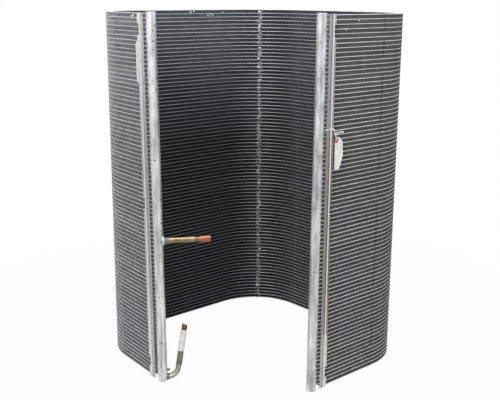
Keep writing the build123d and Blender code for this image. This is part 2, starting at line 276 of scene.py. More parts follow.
# each finish, with what it takes from the plain values left out
plainFinish = {"grainScale": 900, "spots": 0.3, "metallic": 0.0, "bump": 0.3, "bumpDepth": 0.0003}
finishes = {
    "headerMetal": {
        "dark": (0.4, 0.405, 0.41), "light": (0.88, 0.885, 0.9), "cloudScale": 75, "grainScale": 420,
        "stretch": (1, 1, 0.3), "spots": 0.85, "spotColour": (0.93, 0.93, 0.94),
        "roughness": (0.22, 0.45), "metallic": 0.5, "bump": 0.6, "bumpDepth": 0.0008, "streaks": 0.8,
        "streakScale": 95, "streakStretch": (1, 1, 0.05), "streakColour": (0.3, 0.305, 0.315),
        "pitScale": 130, "pitEdge": (0.675, 0.71), "pitColour": (0.1, 0.1, 0.105),
    },
    "capMetal": {
        "dark": (0.4, 0.4, 0.41), "light": (0.68, 0.68, 0.7), "cloudScale": 160, "grainScale": 700,
        "spots": 0.5, "spotColour": (0.85, 0.85, 0.86), "roughness": (0.35, 0.6), "metallic": 0.5,
        "bump": 0.5, "bumpDepth": 0.0005,
    },
    "plateMetal": {
        "dark": (0.5, 0.5, 0.51), "light": (0.8, 0.8, 0.81), "cloudScale": 40, "grainScale": 500,
        "spots": 0.5, "spotColour": (0.92, 0.92, 0.92), "roughness": (0.35, 0.55), "metallic": 0.6,
    },
    "frayedFin": {
        "dark": (0.58, 0.58, 0.58), "light": (0.92, 0.92, 0.92), "cloudScale": 300, "spots": 0.5,
        "spotColour": (1, 1, 1), "roughness": (0.3, 0.5), "metallic": 0.3, "bump": 0.2,
        "bumpDepth": 0.0002,
    },
    "brazeGrey": {
        "dark": (0.03, 0.03, 0.028), "light": (0.28, 0.28, 0.27), "cloudScale": 260, "spots": 0.5,
        "spotColour": (0.75, 0.75, 0.73), "roughness": (0.3, 0.6), "metallic": 0.5, "bump": 0.7,
        "bumpDepth": 0.0008,
    },
    "bossMetal": {
        "dark": (0.07, 0.055, 0.075), "light": (0.27, 0.24, 0.28), "cloudScale": 170, "spots": 0.4,
        "spotColour": (0.8, 0.78, 0.8), "roughness": (0.35, 0.6), "metallic": 0.6, "bump": 0.6,
        "bumpDepth": 0.0006, "pitScale": 420, "pitEdge": (0.66, 0.72), "pitColour": (0.12, 0.1, 0.12),
    },
    "goldPipe": {
        "dark": (0.17, 0.13, 0.06), "light": (0.4, 0.33, 0.19), "cloudScale": 90, "spots": 0.35,
        "spotColour": (0.65, 0.57, 0.4), "roughness": (0.28, 0.45), "metallic": 0.85, "bump": 0.2,
        "bumpDepth": 0.0002, "streaks": 0.7, "streakScale": 260, "streakStretch": (1, 1, 1),
        "streakColour": (0.2, 0.14, 0.08),
    },
    "copperMetal": {
        "dark": (0.15, 0.055, 0.03), "light": (0.41, 0.19, 0.11), "cloudScale": 110, "spots": 0.35,
        "spotColour": (0.3, 0.16, 0.1), "roughness": (0.27, 0.45), "metallic": 0.9, "bump": 0.2,
        "bumpDepth": 0.0002,
    },
    "cutCopper": {
        "dark": (0.07, 0.07, 0.02), "light": (0.5, 0.3, 0.12), "cloudScale": 150,
        "spotColour": (0.75, 0.55, 0.35), "roughness": (0.3, 0.55), "metallic": 0.8, "streaks": 0.9,
        "streakScale": 110, "streakStretch": (1, 1, 0.4), "streakColour": (0.035, 0.055, 0.012),
    },
    "darkBraze": {
        "dark": (0.05, 0.04, 0.035), "light": (0.16, 0.12, 0.1), "cloudScale": 200,
        "spotColour": (0.3, 0.25, 0.2), "roughness": (0.5, 0.8), "metallic": 0.3, "bump": 0.5,
        "bumpDepth": 0.0004,
    },
    "elbowMetal": {
        "dark": (0.2, 0.2, 0.19), "light": (0.54, 0.54, 0.52), "cloudScale": 130, "grainScale": 700,
        "spots": 0.5, "spotColour": (0.85, 0.85, 0.84), "roughness": (0.25, 0.45), "metallic": 0.75,
        "bump": 0.4, "bumpDepth": 0.0004, "streaks": 0.5, "streakScale": 120,
        "streakStretch": (1, 1, 0.5), "streakColour": (0.22, 0.22, 0.2),
    },
    "sleevePlastic": {
        "dark": (0.055, 0.06, 0.04), "light": (0.21, 0.22, 0.155), "cloudScale": 130,
        "spotColour": (0.45, 0.46, 0.38), "roughness": (0.4, 0.65), "bump": 0.4, "bumpDepth": 0.0004,
        "stretch": (1, 1, 0.3),
    },
    "labelPaper": {
        "dark": (0.6, 0.59, 0.62), "light": (0.93, 0.92, 0.93), "cloudScale": 90, "grainScale": 1200,
        "spots": 0.25, "spotColour": (0.55, 0.53, 0.56), "roughness": (0.5, 0.75), "bump": 0.5,
        "bumpDepth": 0.0005, "streaks": 0.45, "streakScale": 200, "streakStretch": (1, 1, 0.6),
        "streakColour": (0.5, 0.48, 0.52),
    },
    "tagCard": {
        "dark": (0.78, 0.75, 0.7), "light": (0.97, 0.95, 0.91), "cloudScale": 70, "grainScale": 1200,
        "spotColour": (0.5, 0.46, 0.42), "roughness": (0.6, 0.8), "bumpDepth": 0.0004,
    },
    "eyeletBoard": {
        "dark": (0.24, 0.13, 0.12), "light": (0.45, 0.29, 0.27), "cloudScale": 200, "grainScale": 1200,
        "spotColour": (0.6, 0.45, 0.42), "roughness": (0.6, 0.8), "bumpDepth": 0.0002,
    },
    "wireSteel": {
        "dark": (0.74, 0.72, 0.7), "light": (1.0, 0.99, 0.97), "cloudScale": 260, "grainScale": 1200,
        "spots": 0.25, "spotColour": (0.35, 0.26, 0.22), "roughness": (0.3, 0.5), "metallic": 0.15,
        "bump": 0.2, "bumpDepth": 0.0001,
    },
}
# a lighter copy of the header finish for the left header: painted light on one of two like headers
finishes["paintedLightHeaderMetal"] = {
    **finishes["headerMetal"], "dark": (0.54, 0.545, 0.55), "light": (0.96, 0.965, 0.97),
}
metal = {name: speckledMaterial(name, look) for name, look in finishes.items()}


# tubes and fins: each row has its own tone; painted light and shade change along the wall, with painted
# shade on the inner side and a painted light that makes the rows lighter near the top; old seams run down
# the wall; places are shares of the wall's length
wallFinishes = {
    "tubeMetal": {
        "dark": (0.6, 0.6, 0.61), "light": (0.95, 0.95, 0.96), "cloudScale": 90, "roughness": 0.42,
        "metallic": 0.55,
        "innerLightAndShade": [(0.0, 0.88), (0.14, 1.0), (0.2, 0.5), (0.26, 0.35), (0.42, 0.36), (0.49, 0.58),
                       (0.8, 0.6), (0.87, 0.88), (1.0, 0.88)],
        "innerTopLight": [(0.0, 0.1), (0.2, 0.1), (0.26, 0.45), (0.42, 0.45), (0.48, 0.13), (0.8, 0.12),
                      (0.87, 0.12), (1.0, 0.12)],
        "outerLightAndShade": [(0.0, 0.84), (0.14, 0.96), (0.24, 0.86), (1.0, 0.85)], "outerTopLight": 0.05,
        "rowTones": (0.78, 1.0), "seamShare": 0.5,
    },
    "finMetal": {
        "dark": (0.44, 0.44, 0.46), "light": (0.58, 0.58, 0.605), "cloudScale": 45, "roughness": 0.62,
        "metallic": 0.25,
        "innerLightAndShade": [(0.0, 0.72), (0.09, 0.8), (0.135, 1.0), (0.2, 0.34), (0.26, 0.18), (0.42, 0.18),
                       (0.5, 0.3), (0.8, 0.32), (0.87, 0.52), (1.0, 0.55)],
        "innerTopLight": [(0.0, 0.14), (0.2, 0.14), (0.26, 0.8), (0.42, 0.76), (0.5, 0.28), (0.8, 0.24),
                      (0.87, 0.18), (1.0, 0.18)],
        "outerLightAndShade": [(0.0, 0.69), (0.09, 0.76), (0.135, 0.95), (0.3, 0.58), (0.87, 0.5), (1.0, 0.53)],
        "outerTopLight": 0.09,
        "rowTones": (0.8, 1.0), "seamShare": 0.4,
    },
}
# metres from the left header, half width, tone and strength
wallSeams = ((0.17, 0.0009, 0.9, 1), (0.905, 0.0008, 0.9, 1), (1.405, 0.0014, 0.04, 2))
wholeWall = 1.6  # metres, for the tones along the wall
paintedTopLight = {"low": 0.48, "high": 0.82, "gain": 3.0}  # metres, where painted light turns the rows lighter, and by how much


def coolGrey(tone):  # the deep painted shade inside the coil turns a little blue
    return (tone * 0.95, tone, tone * 1.06) if tone < 0.5 else grey(tone)


def wallMaterial(name, look):
    material, nodes, links, shader = newMaterial(name)
    coordinates = nodes.new("ShaderNodeTexCoord").outputs["Object"]
    cloud = addNoise(nodes, links, coordinates, look["cloudScale"], 5, 0.65)
    colour = addRamp(nodes, links, cloud, [(0.32, look["dark"]), (0.68, look["light"])])
    along = addAttribute(nodes, "along")
    inner = addAttribute(nodes, "inner")
    # painted light and shade along the wall: lighter where the coil faces the light, darker inside the coil
    share = addRange(nodes, links, along, 0, wholeWall, 0, 1)
    inside = addRamp(nodes, links, share, [(place, coolGrey(tone)) for place, tone in look["innerLightAndShade"]])
    outside = addRamp(nodes, links, share, greyStops(look["outerLightAndShade"]))
    sides = addMix(nodes, links, inner, outside, inside)
    colour = addMix(nodes, links, 1.0, colour, sides, "MULTIPLY")
    # painted light from above: the rows turn lighter towards the top, by a gain that changes along the wall
    height = addHeight(nodes, links, coordinates)
    high = addRange(nodes, links, height, paintedTopLight["low"], paintedTopLight["high"], 0, paintedTopLight["gain"])
    gain = addRamp(nodes, links, share, greyStops(look["innerTopLight"]))
    gain = addMix(nodes, links, inner, grey(look["outerTopLight"]), gain)
    lift = addMath(nodes, links, "MULTIPLY_ADD", high, gain, 1)
    colour = addMix(nodes, links, 1.0, colour, lift, "MULTIPLY")
    colour.node.clamp_result = True
    low, high = look["rowTones"]
    rowRamp = addRamp(nodes, links, addAttribute(nodes, "rowTone"), greyStops([(0.0, low), (1.0, high)]))
    colour = addMix(nodes, links, 1.0, colour, rowRamp, "MULTIPLY")
    patches = addNoise(nodes, links, coordinates, 60, 3, 0.6)
    broken = addRange(nodes, links, patches, 0.42, 0.6, 0, look["seamShare"])
    for place, reach, tone, strength in wallSeams:
        near = addMath(nodes, links, "COMPARE", along, place, reach)
        seam = addMath(nodes, links, "MULTIPLY", near, broken)
        colour = addMix(nodes, links, addRange(nodes, links, seam, 0, 1, 0, strength), colour, grey(tone))
    links.new(colour, shader.inputs["Base Color"])
    rough = addRange(nodes, links, cloud, 0.3, 0.7, look["roughness"] - 0.1, look["roughness"] + 0.12)
    links.new(rough, shader.inputs["Roughness"])
    shader.inputs["Metallic"].default_value = look["metallic"]
    addBump(nodes, links, cloud, 0.2, 0.0002, shader)
    return material


metal.update({name: wallMaterial(name, look) for name, look in wallFinishes.items()})


# folded strips: painted shade on the inner flange, a painted highlight on the rib and the outer edge, and
# stains that change with height
stripFinishes = {
    "leftStripMetal": {"innerFlangeShade": (0.3, 0.3, 0.31), "mottle": 0.5, "stains": [
        (0.0, (0.75, 0.75, 0.74)), (0.12, (0.7, 0.7, 0.69)), (0.3, (0.42, 0.43, 0.42)),
        (0.7, (0.4, 0.41, 0.4)), (0.8, (0.62, 0.62, 0.62)), (0.9, (0.86, 0.86, 0.85)),
        (1.0, (0.9, 0.9, 0.9)),
    ]},
    "rightStripMetal": {"innerFlangeShade": (0.3, 0.3, 0.31), "mottle": 0.25, "stains": [
        (0.0, (0.76, 0.75, 0.72)), (0.13, (0.68, 0.66, 0.62)), (0.17, (0.3, 0.22, 0.17)),
        (0.25, (0.24, 0.19, 0.12)), (0.29, (0.13, 0.135, 0.04)), (0.57, (0.12, 0.13, 0.035)),
        (0.6, (0.24, 0.16, 0.13)), (0.68, (0.3, 0.22, 0.2)), (0.72, (0.33, 0.33, 0.33)),
        (1.0, (0.4, 0.4, 0.41)),
    ]},
}
# the painted highlight on the rib and the outer edge, and the height over which the stains run
stripShine = {"bright": (0.98, 0.98, 0.97), "height": 0.85}


def stripMaterial(name, look):
    material, nodes, links, shader = newMaterial(name)
    coordinates = nodes.new("ShaderNodeTexCoord").outputs["Object"]
    height = addRange(nodes, links, addHeight(nodes, links, coordinates), 0, stripShine["height"], 0, 1)
    drift = addRange(nodes, links, addNoise(nodes, links, coordinates, 14, 4, 0.6), 0.3, 0.7, -0.03, 0.03)
    stained = addRamp(nodes, links, addMath(nodes, links, "ADD", height, drift), look["stains"])
    # low values mix in the painted shade of the inner flange, high values the painted highlight of the rib
    # and outer edge
    tone = addAttribute(nodes, "stripShadeAndHighlight")
    colour = addMix(nodes, links, addRange(nodes, links, tone, 0.0, 0.5, 0.65, 0), stained, look["innerFlangeShade"])
    bright = addRange(nodes, links, tone, 0.5, 1.0, 0, 1)
    colour = addMix(nodes, links, bright, colour, stripShine["bright"])
    mottle = addNoise(nodes, links, coordinates, 420, 4, 0.7)
    mottle = addRange(nodes, links, mottle, 0.42, 0.68, 0, look["mottle"])
    colour = addMix(nodes, links, mottle, colour, (0.8, 0.8, 0.79))
    dirt = addRange(nodes, links, addNoise(nodes, links, coordinates, 300, 3, 0.6), 0.58, 0.7, 0, 0.8)
    colour = addMix(nodes, links, dirt, colour, grey(0.12))
    links.new(colour, shader.inputs["Base Color"])
    shader.inputs["Metallic"].default_value = 0.45
    shader.inputs["Roughness"].default_value = 0.42
    addBump(nodes, links, mottle, 0.4, 0.0004, shader)
    return material


metal.update({name: stripMaterial(name, look) for name, look in stripFinishes.items()})
print("materials made:", len(metal))

# the finned wall
wallSettings = {
    "tubes": 85,
    "tubeThickness": 1.8 * mm,
    "tubeWidth": 18 * mm,
    "finHeight": 8 * mm,
    "finRecess": 0.6 * mm,
    "finSpacing": 1.3 * mm,
    "louvreDepth": 4.0 * mm,
    "finStop": 32 * mm,
    "plateStop": 24 * mm,
    "bendRadius": 147 * mm,
    "bendSteps": 14,
    "runs": [
        ("leg", 163 * mm), ("bend", 85.5), ("leg", 276 * mm), ("bend", 90),
        ("leg", 276 * mm), ("bend", 90), ("leg", 207 * mm),
    ],
}


def runLength(kind, size):
    return size if kind == "leg" else wallSettings["bendRadius"] * math.radians(size)


wallLength = sum(runLength(kind, size) for kind, size in wallSettings["runs"])
wallPitch = wallSettings["tubeThickness"] + wallSettings["finHeight"]
wallStart = Vector((0, 0))


def wallPlace(distance):  # point and heading on the wall's middle, measured from the left header's axis
    x, y = wallStart
    heading = math.radians(wallSettings["runs"][1][1])
    radius = wallSettings["bendRadius"]
    for kind, size in wallSettings["runs"]:
        step = min(distance, runLength(kind, size))
        if kind == "leg":
            x += step * math.cos(heading)
            y += step * math.sin(heading)
        else:
            turned = heading - step / radius
            x += radius * (math.sin(heading) - math.sin(turned))
            y += radius * (math.cos(turned) - math.cos(heading))
            heading = turned
        distance -= step
        if distance <= 0:
            break
    return x, y, heading


def reachedAt(run):  # distance from the left header to the middle of one run
    lengths = [runLength(kind, size) for kind, size in wallSettings["runs"]]
    return sum(lengths[:run]) + lengths[run] / 2


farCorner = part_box("finned_core")[1]
half = wallSettings["tubeWidth"] / 2
wallStart = Vector((
    farCorner[0] - half - wallPlace(reachedAt(4))[0],
    farCorner[1] - half - wallPlace(reachedAt(2))[1],
))
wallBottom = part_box("finned_core")[0][2]
firstTube = wallBottom + wallSettings["finHeight"] + wallSettings["tubeThickness"] / 2


def onWall(distance, outwards, height):
    x, y, heading = wallPlace(distance)
    return Vector((x - outwards * math.sin(heading), y + outwards * math.cos(heading), height))


def wallStations(stop):  # few stations on the legs, many in the bends
    marks = [stop]
    reached = 0
    for kind, size in wallSettings["runs"]:
        length = runLength(kind, size)
        steps = wallSettings["bendSteps"] if kind == "bend" else 1
        marks += [reached + length * (i + 1) / steps for i in range(steps)]
        reached += length
    marks[-1] = wallLength - stop
    return marks


def sweptOnWall(name, section, stop, finish):
    stations = wallStations(stop)
    verts = [onWall(s, outwards, height) for s in stations for outwards, height in section]
    return addMesh(name, verts, ringFaces(len(stations), len(section)), finish)


def tubeSection():
    half = wallSettings["tubeThickness"] / 2
    reach = wallSettings["tubeWidth"] / 2 - half
    steps = 5
    section = []
    for side in (1, -1):
        for i in range(steps):
            angle = math.pi * (i / (steps - 1) - 0.5)
            section.append((side * (reach + half * math.cos(angle)), side * half * math.sin(angle)))
    return section


def newTree(name, inputs, output):  # a node group with named inputs and one result
    tree = bpy.data.node_groups.new(name, "GeometryNodeTree")
    for label, kind in inputs.items():
        tree.interface.new_socket(label, in_out="INPUT", socket_type="NodeSocket" + kind)
    tree.interface.new_socket(output, in_out="OUTPUT", socket_type="NodeSocketGeometry")
    entry = tree.nodes.new("NodeGroupInput").outputs
    leave = tree.nodes.new("NodeGroupOutput").inputs[output]
    return tree, tree.nodes, tree.links, entry, leave


def endTree(nodes, links, copies, entry, leave):  # makes the copies real and gives them their finish
    real = nodes.new("GeometryNodeRealizeInstances")
    paint = nodes.new("GeometryNodeSetMaterial")
    links.new(copies, real.inputs["Geometry"])
    links.new(real.outputs["Geometry"], paint.inputs["Geometry"])
    links.new(entry["Finish"], paint.inputs["Material"])
    links.new(paint.outputs["Geometry"], leave)


def stackTree():  # copies one row up the wall, and gives each row a tone of its own
    inputs = {
        "Row": "Geometry", "Rows": "Int", "Pitch": "Float", "First height": "Float", "Tone seed": "Int",
        "Finish": "Material",
    }
    tree, nodes, links, entry, leave = newTree("rowStack", inputs, "Wall")
    line = nodes.new("GeometryNodeMeshLine")
    first = nodes.new("ShaderNodeCombineXYZ")
    step = nodes.new("ShaderNodeCombineXYZ")
    copies = nodes.new("GeometryNodeInstanceOnPoints")
    tone = nodes.new("FunctionNodeRandomValue")
    keep = nodes.new("GeometryNodeStoreNamedAttribute")
    keep.domain = "INSTANCE"
    keep.inputs["Name"].default_value = "rowTone"
    links.new(entry["Rows"], line.inputs["Count"])
    links.new(entry["First height"], first.inputs["Z"])
    links.new(entry["Pitch"], step.inputs["Z"])
    links.new(first.outputs[0], line.inputs["Start Location"])
    links.new(step.outputs[0], line.inputs["Offset"])
    links.new(line.outputs["Mesh"], copies.inputs["Points"])
    links.new(entry["Row"], copies.inputs["Instance"])
    links.new(entry["Tone seed"], tone.inputs["Seed"])
    links.new(copies.outputs["Instances"], keep.inputs["Geometry"])
    links.new(tone.outputs["Value"], keep.inputs["Value"])
    endTree(nodes, links, keep.outputs["Geometry"], entry, leave)
    return tree


def runTree(tree, shape, name, values):  # sets the named inputs, then turns the result into a plain mesh
    modifier = shape.modifiers.new("repeat", "NODES")
    modifier.node_group = tree
    for item in tree.interface.items_tree:
        if item.in_out == "INPUT" and item.name in values:
            modifier[item.identifier] = values[item.name]
    shape.update_tag()
    depsgraph = bpy.context.evaluated_depsgraph_get()
    mesh = bpy.data.meshes.new_from_object(shape.evaluated_get(depsgraph))
    mesh.name = name
    bpy.data.objects.remove(shape)
    piece = bpy.data.objects.new(name, mesh)
    bpy.context.collection.objects.link(piece)
    return piece


rowStack = stackTree()


# each point's distance along the wall and its side, for the finishes to read
def markAlong(piece, distances, sides):
    for name, values in (("along", distances), ("inner", sides)):
        layer = piece.data.attributes.new(name, "FLOAT", "POINT")
        layer.data.foreach_set("value", values)


def finRow(finish):  # one folded strip that touches the tube below and above in turn, with louvres inside
    stop = wallSettings["finStop"]
    reach = wallSettings["tubeWidth"] / 2 - wallSettings["finRecess"]
    folds = round((wallLength - 2 * stop) / wallSettings["finSpacing"])
    verts, distances, sides = [], [], []
    for i in range(folds + 1):
        distance = stop + (wallLength - 2 * stop) * i / folds
        height = wallSettings["finHeight"] * (i % 2)
        verts += [onWall(distance, reach, height), onWall(distance, -reach, height)]
        distances += [distance, distance]
        sides += [0.0, 1.0]
    faces = [(2 * i, 2 * i + 1, 2 * i + 3, 2 * i + 2) for i in range(folds)]
    stations = wallStations(stop)
    for side in (1, -1):
        first = len(verts)
        depth = side * (reach - wallSettings["louvreDepth"])
        for s in stations:
            verts += [onWall(s, depth, 0), onWall(s, depth, wallSettings["finHeight"])]
            distances += [s, s]
            sides += [0.0, 0.0] if side > 0 else [1.0, 1.0]
        faces += [(first + 2 * i, first + 2 * i + 1, first + 2 * i + 3, first + 2 * i + 2)
                  for i in range(len(stations) - 1)]
    row = addMesh("finRow", verts, faces, finish, closed=False, sharpAngle=20)
    markAlong(row, distances, sides)
    return row


def tubeRow(finish):  # one flat tube from header to header
    section = tubeSection()
    stations = wallStations(wallSettings["finStop"])
    verts = [onWall(s, outwards, height) for s in stations for outwards, height in section]
    faces = ringFaces(len(stations), len(section), closedEnds=False)
    row = addMesh("tubeRow", verts, faces, finish, closed=False)
    markAlong(row, [s for s in stations for point in section],
              [float(out < 0) for s in stations for out, rise in section])
    return row


def buildWall():
    values = {"Rows": wallSettings["tubes"], "Pitch": wallPitch, "First height": firstTube, "Tone seed": 3,
              "Finish": metal["tubeMetal"]}
    tubes = runTree(rowStack, tubeRow(metal["tubeMetal"]), "flatTubes", values)
    settle(tubes, ["finned_core"])
    rows = wallSettings["tubes"] + 1
    lower = rows // 2
    for name, first, count, seed in (("lowerFins", 0, lower, 5), ("upperFins", lower, rows - lower, 7)):
        values = {"Rows": count, "Pitch": wallPitch, "First height": wallBottom + first * wallPitch,
                  "Tone seed": seed, "Finish": metal["finMetal"]}
        fins = runTree(rowStack, finRow(metal["finMetal"]), name, values)
        settle(fins, ["finned_core"])
        print(name, "triangles", 2 * len(fins.data.polygons))
    print("tubes", 2 * len(tubes.data.polygons))


buildWall()
print("finned wall built")


def sidePlate(name, node):
    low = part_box(node)[0][2]
    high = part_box(node)[1][2]
    edge = wallSettings["tubeWidth"] / 2
    soft = 0.25 * mm
    section = [
        (-edge, low + soft), (-edge + soft, low), (edge - soft, low), (edge, low + soft),
        (edge, high - soft), (edge - soft, high), (-edge + soft, high), (-edge, high - soft),
    ]
    plate = sweptOnWall(name, section, wallSettings["plateStop"], metal["plateMetal"])
    settle(plate, [node])


sidePlate("topPlate", "top_side_plate")
sidePlate("bottomPlate", "bottom_side_plate")
print("side plates built")

# the two ends, which lean a little in the plane of their walls
endSettings = {
    "overhang": 4 * mm,
    "leftLean": 17.6 * mm,
    "leftLevel": 345 * mm,
    "rightLean": 5.5 * mm,
    "rightLevel": 0.0,
}
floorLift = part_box("bottom_side_plate")[0][2] - endSettings["overhang"]
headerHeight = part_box("top_side_plate")[1][2] + endSettings["overhang"] - floorLift


def makeEnd(distance, towardsFins, lean, level):
    x, y, heading = wallPlace(distance)
    along = Vector((math.cos(heading), math.sin(heading), 0)) * towardsFins
    outward = Vector((-math.sin(heading), math.cos(heading), 0))
    slope = lean / headerHeight
    return {
        "pivot": Vector((x, y, level + floorLift)),
        "along": (along - Vector((0, 0, slope))).normalized(),
        "outward": outward,
        "up": (along * slope + Vector((0, 0, 1))).normalized(),
        "level": level,
        "slope": slope,
    }


leftEnd = makeEnd(0, 1, endSettings["leftLean"], endSettings["leftLevel"])
rightEnd = makeEnd(wallLength, -1, endSettings["rightLean"], endSettings["rightLevel"])
rightWall = makeEnd(wallLength, -1, 0, 0)


def atEnd(end, along, outward, height):
    level = end["pivot"] + end["along"] * along + end["outward"] * outward
    return level + end["up"] * (height - end["level"])


def bareTubes(name, end, distanceAt):  # the short bare lengths between the fins and a header, one by one
    section = tubeSection()
    verts, faces = [], []
    for row in range(wallSettings["tubes"]):
        height = firstTube + row * wallPitch
        shift = end["slope"] * (height - floorLift - end["level"])
        first = len(verts)
        for distance in (wallSettings["finStop"], headerSettings["insert"] + shift):
            verts += [onWall(distanceAt(distance), outward, height + rise) for outward, rise in section]
        faces += [tuple(first + i for i in face) for face in ringFaces(2, len(section))]
    piece = addMesh(name, verts, faces, metal["tubeMetal"])
    markAlong(piece, [0.0] * len(piece.data.vertices), [0.0] * len(piece.data.vertices))
    settle(piece, ["finned_core"])


# headers
headerSettings = {
    "radius": 11 * mm, "wall": 1.5 * mm, "cap": 1.6 * mm, "rim": 0.7 * mm, "insert": 6 * mm,
    "dent": 0.25 * mm, "rings": 110, "around": 64,
}


def headerTube(name, node, end, seed, finish):
    outer = headerSettings["radius"]
    inner = outer - headerSettings["wall"]
    rings = headerSettings["rings"]
    low = headerSettings["cap"]
    high = headerHeight - headerSettings["cap"]
    heights = [low + (high - low) * i / (rings - 1) for i in range(rings)]
    profile = [(outer, z) for z in heights] + [(inner, z) for z in reversed(heights)]

    def dented(angle, radius, height):
        if radius < outer:
            return radius, height
        return radius - headerSettings["dent"] * max(0, ringNoise(angle, 2, height * 60 + seed)), height

    tube = turnedPiece(name, profile, atEnd(end, 0, 0, 0), end["up"], metal[finish],
                       headerSettings["around"], dented)
    settle(tube, [node])


def headerCap(name, node, end, top):
    outer = headerSettings["radius"]
    thick = headerSettings["cap"]
    rim = headerSettings["rim"]
    profile = [
        (0, 0), (outer - rim, 0), (outer - rim * 0.3, rim * 0.3), (outer, rim), (outer, thick), (0, thick),
    ]
    origin = atEnd(end, 0, 0, headerHeight if top else 0)
    cap = turnedPiece(name, profile, origin, end["up"] * (-1 if top else 1), metal["capMetal"])
    settle(cap, [node])


headerTube("leftHeader", "left_header", leftEnd, 0, "paintedLightHeaderMetal")
headerTube("rightHeader", "right_header", rightEnd, 40, "headerMetal")
headerCap("leftHeaderTopCap", "left_header_top_cap", leftEnd, True)
headerCap("leftHeaderBottomCap", "left_header_bottom_cap", leftEnd, False)
headerCap("rightHeaderTopCap", "right_header_top_cap", rightEnd, True)
headerCap("rightHeaderBottomCap", "right_header_bottom_cap", rightEnd, False)
bareTubes("leftBareTubes", leftEnd, lambda distance: distance)
bareTubes("rightBareTubes", rightEnd, lambda distance: wallLength - distance)
print("headers built")

# the pipes of the left header
pipeSettings = {
    "radius": 6.35 * mm,
    "wall": 1 * mm,
    "swing": 28,  # degrees from square to the wall, towards the open corner
    "inletHeight": 342 * mm,
    "inletLength": 84 * mm,
    "ringWidth": 2 * mm,
    "swage": 11 * mm,
    "socket": 22 * mm,
    "socketWall": 1.5 * mm,
    "liquidHeight": 8.6 * mm,
    "elbowReach": 34 * mm,
    "elbowRadius": 26 * mm,
    "elbowInsert": 2 * mm,
    "inletBead": (4.2 * mm, 3.2 * mm),  # width and height
    "liquidBead": (1.6 * mm, 5 * mm),
    "riserLean": 9.4,
    "jointHeight": 24 * mm,
    "sleeveStart": 7 * mm,
    "sleeveLength": 35 * mm,
    "labelLength": 53 * mm,
    "bareEnd": 15 * mm,
    "cutDrop": 3.2 * mm,
    "cutSlope": 2.4 * mm,
    "cutJag": 1.3 * mm,
    "wrinkle": 0.15 * mm,
    "nubHeight": 26 * mm,
    "nubRadius": 3 * mm,
    "nubReach": 17.5 * mm,
}
swing = math.radians(pipeSettings["swing"])
outlet = (leftEnd["outward"] * -math.cos(swing) - leftEnd["along"] * math.sin(swing)).normalized()


# a lumpy ring of braze on the header's skin
def brazeBead(name, origin, axis, inner, skin, wide, tall, finish):
    def lumpy(angle, reach, distance):
        if reach <= inner:
            return reach, distance
        lump = 0.35 * wide * ringNoise(angle, 2.2, inner * 900)
        return max(inner, reach + lump * (reach - inner) / wide), distance

    steps = 8
    curve = [(inner + wide * math.cos(math.pi / 2 * i / steps),
              skin - 1 * mm + (tall + 1 * mm) * math.sin(math.pi / 2 * i / steps))
             for i in range(steps + 1)]
    profile = [(inner, skin - 3 * mm), (inner + wide, skin - 3 * mm)] + curve
    return turnedPiece(name, profile, origin, axis, finish, 48, lumpy)


def inletPieces():
    look = pipeSettings
    radius = look["radius"]
    bore = radius - look["wall"]
    start = atEnd(leftEnd, 0, 0, look["inletHeight"])
    skin = headerSettings["radius"]
    flare = [(radius + 4.4 * mm - 3.3 * mm * math.sin(a), skin - 2 * mm + 6.5 * mm * (1 - math.cos(a)))
             for a in (math.pi / 2 * i / 7 for i in range(8))]
    boss = [(radius, skin - 4 * mm), (radius + 4.4 * mm, skin - 4 * mm)] + flare
    boss += [(radius + 0.9 * mm, skin + 11.5 * mm), (radius + 0.4 * mm, skin + 12 * mm),
             (radius, skin + 12 * mm)]
    settle(turnedPiece("inletBoss", boss, start, outlet, metal["bossMetal"]), ["inlet_boss"])
    collar = radius + 1.2 * mm
    bead = brazeBead("inletBraze", start, outlet, collar, skin, *look["inletBead"], metal["capMetal"])
    settle(bead, ["inlet_boss"])
    pipe = roundedEnd(radius, skin - 3 * mm, look["inletLength"], 0.2 * mm, bore)
    settle(turnedPiece("inletPipe", pipe, start, outlet, metal["goldPipe"]), ["inlet_pipe"])
    ringStart = look["inletLength"]
    ringEnd = ringStart + look["ringWidth"]
    ring = [(bore, ringStart), (radius, ringStart), (radius + 0.5 * mm, ringStart + 0.6 * mm),
            (radius + 0.5 * mm, ringEnd - 0.6 * mm), (radius, ringEnd), (bore, ringEnd)]
    settle(turnedPiece("inletRing", ring, start, outlet, metal["darkBraze"]), ["inlet_ring"])
    step = ringEnd + look["swage"]
    mouth = step + look["socket"]
    wide = radius + 0.1 * mm
    outer = wide + look["socketWall"]
    socket = [
        (bore, ringEnd), (radius, ringEnd), (radius, step - 5 * mm), (radius + 0.5 * mm, step - 3.5 * mm),
        (outer - 0.5 * mm, step - 1.5 * mm), (outer, step), (outer, mouth - 0.5 * mm),
        (outer - 0.5 * mm, mouth), (wide + 0.4 * mm, mouth), (wide, mouth - 0.4 * mm), (wide, step),
        (bore, step - 1.5 * mm),
    ]
    end = turnedPiece("inletSocket", socket, start, outlet, metal["copperMetal"])
    settle(end, ["inlet_socket"])


def sweptPipe(name, points, radius, finish, steps=40):
    verts = []
    side = None
    for i, point in enumerate(points):
        before = points[max(i - 1, 0)]
        after = points[min(i + 1, len(points) - 1)]
        axis = (after - before).normalized()
        side = (side - axis * side.dot(axis)).normalized() if side else axis.orthogonal().normalized()
        other = axis.cross(side)
        for k in range(steps):
            angle = 2 * math.pi * k / steps
            verts.append(point + (side * math.cos(angle) + other * math.sin(angle)) * radius)
    return addMesh(name, verts, ringFaces(len(points), steps), finish)


